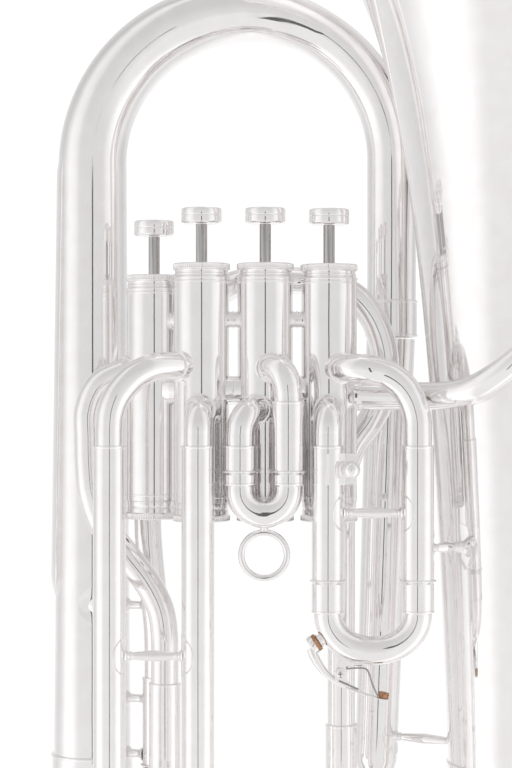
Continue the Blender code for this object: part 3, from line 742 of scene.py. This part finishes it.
def bell_brace(name, x, y, z, reach):
    way = np.subtract(BELL_AXIS, (x, y))
    length = np.linalg.norm(way)
    way /= length
    far = length - bell_radius(z)
    spindle(
        f"{name}_spindle", (x + reach * way[0], y + reach * way[1], z), (x + far * way[0], y + far * way[1], z),
        replaces=[name])
    taper = bell_radius(z + 0.5) - bell_radius(z - 0.5)
    saddle_disc(f"{name}_bell_disc", *BELL_AXIS, z, bell_radius(z), (x, y), 13.0, taper)
    saddle_disc(f"{name}_tube_disc", x, y, z, reach, BELL_AXIS, 10.0)


bell_brace("bell_brace_upper", *SLIDE_1[1], -87, SLEEVE)
bell_brace("bell_brace_lower", 68.6, BACK, -199, 12.0)

# Pull ring

RING, RING_WIRE = 12.05, 1.75
bow_bottom = -55.9 - (SLIDE_2[1][0] - SLIDE_2[0][0]) / 2 - TUBE
RING_CENTRE = ((SLIDE_2[0][0] + SLIDE_2[1][0]) / 2, FRONT, bow_bottom - 0.3 - RING - RING_WIRE)
ring = [
    (RING + RING_WIRE * math.cos(t), RING_WIRE * math.sin(t))
    for t in np.linspace(0, -2 * math.pi, 24, endpoint=False)]
lathe(
    "slide_2_finger_ring", RING_CENTRE, ring, (0, 1, 0), 96, closed=True, body="slide_2",
    replaces=["slide_2_pull_ring"])
foot = [(0, 1.2), (2.0, 1.2), (1.8, 0.2), (2.2, -0.8), (3.2, -1.6), (0, -1.6)]
lathe(
    "slide_2_ring_foot", (RING_CENTRE[0], FRONT, bow_bottom - 0.6), rounded(foot, 0.3, 3)[::-1], (0, 0, -1), 40,
    body="slide_2")

# Water key on the first slide's bow

PIVOT = (44.3, FRONT, -152.4)
key = dict(body="water_key")
rides_bow = dict(body="slide_1")
DRAIN = np.array((40.9, FRONT, -130.4))  # the drain hole's place on the bend's middle line
SEAT = np.array((-0.834, 0.0, -0.552))  # out of the bend there
nipple = [(0, 2.0), (3.4, 2.0), (3.8, 1.6), (3.8, 1.0), (3.1, 0.6), (3.1, -1.2), (0, -1.2)]
lathe("water_key_nipple", DRAIN + SEAT * TUBE, rounded(nipple, 0.25, 3), SEAT, 48, **rides_bow)
cork_at = DRAIN + SEAT * (TUBE + 2.05)
lathe(
    "water_key_cork_pad", cork_at, rounded([(0, 0), (4.7, 0), (4.7, 2.4), (0, 2.4)], 0.3, 3), SEAT, 48,
    replaces=["water_key_cork"], slot="cork", **key)
cup = [(4.9, 0), (5.1, 0.2), (5.1, 2.2), (4.3, 3.0), (0, 3.2), (0, 0.4), (4.5, 0.4), (4.5, 0)]
lathe("water_key_cork_cup", cork_at + SEAT * 2.0, rounded(cup, 0.25, 3), SEAT, 48, **key)

strap = smooth([
    (29.0, FRONT, -139.6, 2.5), (30.3, FRONT, -143.0, 2.6), (32.3, FRONT, -146.8, 2.45), (34.9, FRONT, -150.6, 2.2),
    (38.1, FRONT, -153.7, 1.8), (43.8, FRONT, -157.6, 1.6), (50.2, FRONT, -160.4, 1.4), (56.0, FRONT, -162.9, 0.9),
    (59.0, FRONT, -164.1, 0.4)])
sweep("water_key_strap", strap, 32, flat=1.3, replaces=["water_key_lever"], **key)
touch = smooth([
    (47.0, FRONT, -159.6, 0.5), (52.5, FRONT, -161.8, 0.6), (58.5, FRONT, -163.9, 0.6), (65.0, FRONT, -165.6, 0.6),
    (70.0, FRONT, -166.4, 0.5)])
sweep("water_key_touch", touch, 32, flat=6.0, **key)
stop_at = np.array((66.9, FRONT, -165.4))
lathe(
    "water_key_stop_cork", stop_at, rounded([(0, 0), (2.9, 0), (2.9, 2.9), (0, 2.9)], 0.3, 3), (0.2, 0, 0.98), 40,
    slot="cork", **key)

for side, name in ((-1, "front"), (1, "rear")):
    low, high = sorted((FRONT + side * 2.1, FRONT + side * 3.7))
    cheek = [
        (PIVOT[0] + 3.0 * math.cos(t), PIVOT[2] + 3.0 * math.sin(t))
        for t in np.linspace(math.radians(20), math.radians(200), 22)]
    cheek += [(41.6, -155.8), (44.0, -158.0), (50.6, -160.6), (48.4, -156.6)]
    plate(f"water_key_{name}_cheek", cheek, low, high, 0.3, **key)
post = [
    (PIVOT[0] + 3.1 * math.cos(t), PIVOT[2] + 3.1 * math.sin(t))
    for t in np.linspace(math.radians(190), math.radians(330), 16)]
post += [
    (48.6, -151.6), (48.6, -149.4), (49.4, -148.4), (55.4, -149.0), (56.4, -148.2), (48.0, -143.4),
    (40.0, -138.8), (39.2, -140.4), (43.0, -144.6), (42.2, -148.4)]
plate("water_key_post", post, FRONT - 1.7, FRONT + 1.7, 0.3, replaces=["water_key_saddle"], **rides_bow)
screw = rounded([(0, 0.9), (1.4, 0.75), (2.1, 0.1), (2.1, -0.4), (1.1, -0.4), (1.1, -8.0), (0, -8.0)], 0.2, 3)
lathe(
    "water_key_pivot_screw", (PIVOT[0], FRONT - 4.1, PIVOT[2]), screw, (0, -1, 0), 40,
    replaces=["water_key_screw"], **rides_bow)
# The screw's cross recess is not cut as a hollow. A thin dark steel cross is laid just proud of the plated head, and
# its dark colour is painted shade of the recess.
arm, half = 1.35, 0.32  # the cross recess: how long and how wide each arm is, from the middle
recess_shade_cross = [
    (half, half), (half, arm), (-half, arm), (-half, half), (-arm, half), (-arm, -half), (-half, -half),
    (-half, -arm), (half, -arm), (half, -half), (arm, -half), (arm, half)]
plate(
    "water_key_screw_painted_recess_shade", [(PIVOT[0] + x, PIVOT[2] + z) for x, z in recess_shade_cross], FRONT - 5.05, FRONT - 4.3, 0.05,
    slot="spring_steel", **rides_bow)
# Each spring wire: how far in front of the bow's plane it passes is the middle number.
for name, turns, size in (
        ("arm", ((47.4, 4.4, -149.6), (52.0, 5.4, -149.1), (56.6, 6.3, -149.1), (58.3, 6.3, -150.0),
                 (59.5, 6.1, -152.4), (61.1, 5.2, -157.5), (63.5, 4.0, -163.0), (64.6, 3.2, -164.6)), 0.45),
        ("tail", ((43.6, 4.2, -156.0), (48.6, 4.2, -158.2), (53.8, 4.2, -160.4)), 0.5)):
    wire = smooth([(x, FRONT - outside, z, size) for x, outside, z in turns])
    sweep(f"water_key_spring_{name}", wire, 14, slot="spring_steel", **key)

# Lyre holder


def square_tube(name, x, y, outer, inner, low, high, **rest):
    """An upright box with a square hole right through it."""
    vertices = [
        (x + sx * half[0], y + sy * half[1], z)
        for half, z in ((outer, low), (outer, high), (inner, high), (inner, low))
        for sx, sy in ((-1, -1), (1, -1), (1, 1), (-1, 1))]
    faces = [face for i in range(4) for face in ring_faces(4 * i, 4 * ((i + 1) % 4), 4)]
    edge = piece(name, vertices, faces, **rest).modifiers.new("Edge", "BEVEL")
    edge.width, edge.segments = 0.35 * MM, 3


LYRE_X, LYRE_SCREW_Z = 49.9, -45.1
square_tube(
    "lyre_holder_box", LYRE_X, FRONT, (2.9, 5.0), (2.25, 2.6), -52.7, -36.4, replaces=["lyre_holder"])
saddle = [(36.3, -52.9), (46.9, -52.9), (46.9, -36.3), (36.3, -36.3)]
plate("lyre_holder_saddle", saddle, FRONT - 23.3, FRONT - 21.7, 0.3, lean=0.38)
ball = 4.7
neck = FRONT - 5.3
head = [(ball * math.sin(t), 4.3 + ball * math.cos(t)) for t in np.linspace(0, math.radians(152), 24)]
lathe(
    "lyre_thumb_screw", (LYRE_X, neck, LYRE_SCREW_Z), [*head, (1.6, 0.2), (1.6, 0), (0, 0)], (0, -1, 0), 240,
    wave=lambda angle, radius, height: -0.12 * (0.5 + 0.5 * math.cos(40 * angle)) * (radius > 3.3),
    body="lyre_screw", replaces=["lyre_screw"])

# Rings where the tubes leave the casings

for name, number, towards, height in (
        ("slide_1_upper", 1, (45.1, -13.9), 8.3), ("slide_1_lower", 1, (39.3, -8), -13.4),
        ("slide_2_upper", 2, (8, -14.7), 8.6), ("slide_2_lower", 2, (2.4, -8), -13.4),
        ("slide_3_upper", 3, (-40.5, -10.1), 9.5), ("slide_3_lower", 3, (-29.5, -8), -13.4),
        ("slide_4_front", 4, (-64, 22), 7.4), ("slide_4_rear", 4, (-56, 30), -24.6),
        ("outlet", 4, (-52, 28.9), 19.6), ("leadpipe", 1, (56, -0.3), -6.0)):
    port_collar(f"{name}_port_ring", number, towards, height)

# The room: a white floor, even light, and a dark strip behind the camera


def white_stage():
    made, shader = node_material("studio_white", (0.86, 0.86, 0.86), 0.0, 0.9)
    shader.inputs["Specular IOR Level"].default_value = 0.0
    shader.inputs["Emission Color"].default_value = (1, 1, 1, 1)
    shader.inputs["Emission Strength"].default_value = 0.42
    return made


def white_floor():
    """A wide flat floor. The world behind it is the same white to the camera, from every side."""
    reach = 12.0
    corners = [(-reach, -reach, 0.0), (reach, -reach, 0.0), (reach, reach, 0.0), (-reach, reach, 0.0)]
    mesh = bpy.data.meshes.new("floor")
    mesh.from_pydata(corners, [], [(0, 1, 2, 3)])
    mesh.materials.append(white_stage())
    made = bpy.data.objects.new("floor", mesh)
    bpy.context.scene.collection.objects.link(made)
    made.visible_glossy = False


def studio_world():
    """White all round, dimmer in front of the object, so that the silver's middle tones are grey.

    Light from a little below the horizon is stronger and light from above weaker. The camera sees plain white.
    """
    world = bpy.data.worlds.new("studio")
    bpy.context.scene.world = world
    world.use_nodes = True
    nodes, links = world.node_tree.nodes, world.node_tree.links
    nodes.clear()

    def calculate(operation, *values):
        made = nodes.new("ShaderNodeMath")
        made.operation = operation
        for socket, value in zip(made.inputs, values):
            if isinstance(value, (int, float)):
                socket.default_value = value
            else:
                links.new(value, socket)
        return made.outputs[0]

    def from_height(start, end, low, high):
        made = add_node(
            world, "ShaderNodeMapRange", {"From Min": start, "From Max": end, "To Min": low, "To Max": high})
        links.new(parts.outputs["Z"], made.inputs["Value"])
        return made.outputs["Result"]

    direction = nodes.new("ShaderNodeTexCoord")
    parts = nodes.new("ShaderNodeSeparateXYZ")
    links.new(direction.outputs["Generated"], parts.inputs["Vector"])
    forward = calculate("MULTIPLY", parts.outputs["Y"], -1)
    azimuth = calculate("ARCTAN2", calculate("ABSOLUTE", parts.outputs["X"]), forward)
    ramp = nodes.new("ShaderNodeValToRGB")
    stops = ramp.color_ramp.elements
    levels = (  # degrees round from the front, and how bright it is there
        (0, 0.72), (36, 0.73), (43, 0.78), (53, 0.92), (64, 0.99), (76, 1.03), (86, 0.96), (96, 0.82), (106, 0.71),
        (121, 0.63), (146, 0.76), (165, 0.86), (180, 0.9))
    brightest = 1.03
    for stop, (_, level) in zip(stops, (levels[0], levels[-1])):
        stop.color = (*(level / brightest,) * 3, 1)
    for degrees, level in levels[1:-1]:
        stop = stops.new(degrees / 180)
        stop.color = (*(level / brightest,) * 3, 1)
    links.new(calculate("DIVIDE", azimuth, math.pi), ramp.inputs["Fac"])
    lit = nodes.new("ShaderNodeBackground")
    downward = from_height(0.03, -0.2, brightest, 1.17 * brightest)
    upward = from_height(0.12, 0.6, 1.0, 0.86)
    links.new(calculate("MULTIPLY", downward, upward), lit.inputs["Strength"])
    links.new(ramp.outputs["Color"], lit.inputs["Color"])
    seen = add_node(world, "ShaderNodeBackground", {"Color": (1, 1, 1, 1), "Strength": 1.05})
    path = nodes.new("ShaderNodeLightPath")
    chosen = nodes.new("ShaderNodeMixShader")
    links.new(path.outputs["Is Camera Ray"], chosen.inputs["Fac"])
    links.new(lit.outputs[0], chosen.inputs[1])
    links.new(seen.outputs[0], chosen.inputs[2])
    output = nodes.new("ShaderNodeOutputWorld")
    links.new(chosen.outputs[0], output.inputs["Surface"])


CAMERA = Vector((BLOCK[0] * MM, -1.1936, BLOCK[2] * MM))


def dark_strip():
    """A narrow black cloth behind the camera: it draws the dark line along the middle of each tube."""
    half, low, high, behind = 0.0475, -0.42, 0.26, 0.02
    mesh = bpy.data.meshes.new("dark_strip")
    corners = [(-half, low), (half, low), (half, high), (-half, high)]
    mesh.from_pydata([(CAMERA.x + x, CAMERA.y - behind, CAMERA.z + z) for x, z in corners], [], [(0, 1, 2, 3)])
    cloth, shader = node_material("black_cloth", (0.03, 0.027, 0.025), 0, 1.0)
    mesh.materials.append(cloth)
    made = bpy.data.objects.new("dark_strip", mesh)
    bpy.context.scene.collection.objects.link(made)
    made.visible_camera = False
    made.visible_shadow = False
    made.visible_diffuse = False


def camera():
    lens = bpy.data.cameras.new("camera")
    lens.lens, lens.sensor_width = 100.8, 36
    lens.clip_end = 50
    made = bpy.data.objects.new("camera", lens)
    made.location = CAMERA
    made.rotation_euler = (math.pi / 2, 0, 0)
    bpy.context.scene.collection.objects.link(made)
    bpy.context.scene.camera = made


white_floor()
studio_world()
dark_strip()
camera()
bpy.context.scene.view_settings.view_transform = "Standard"
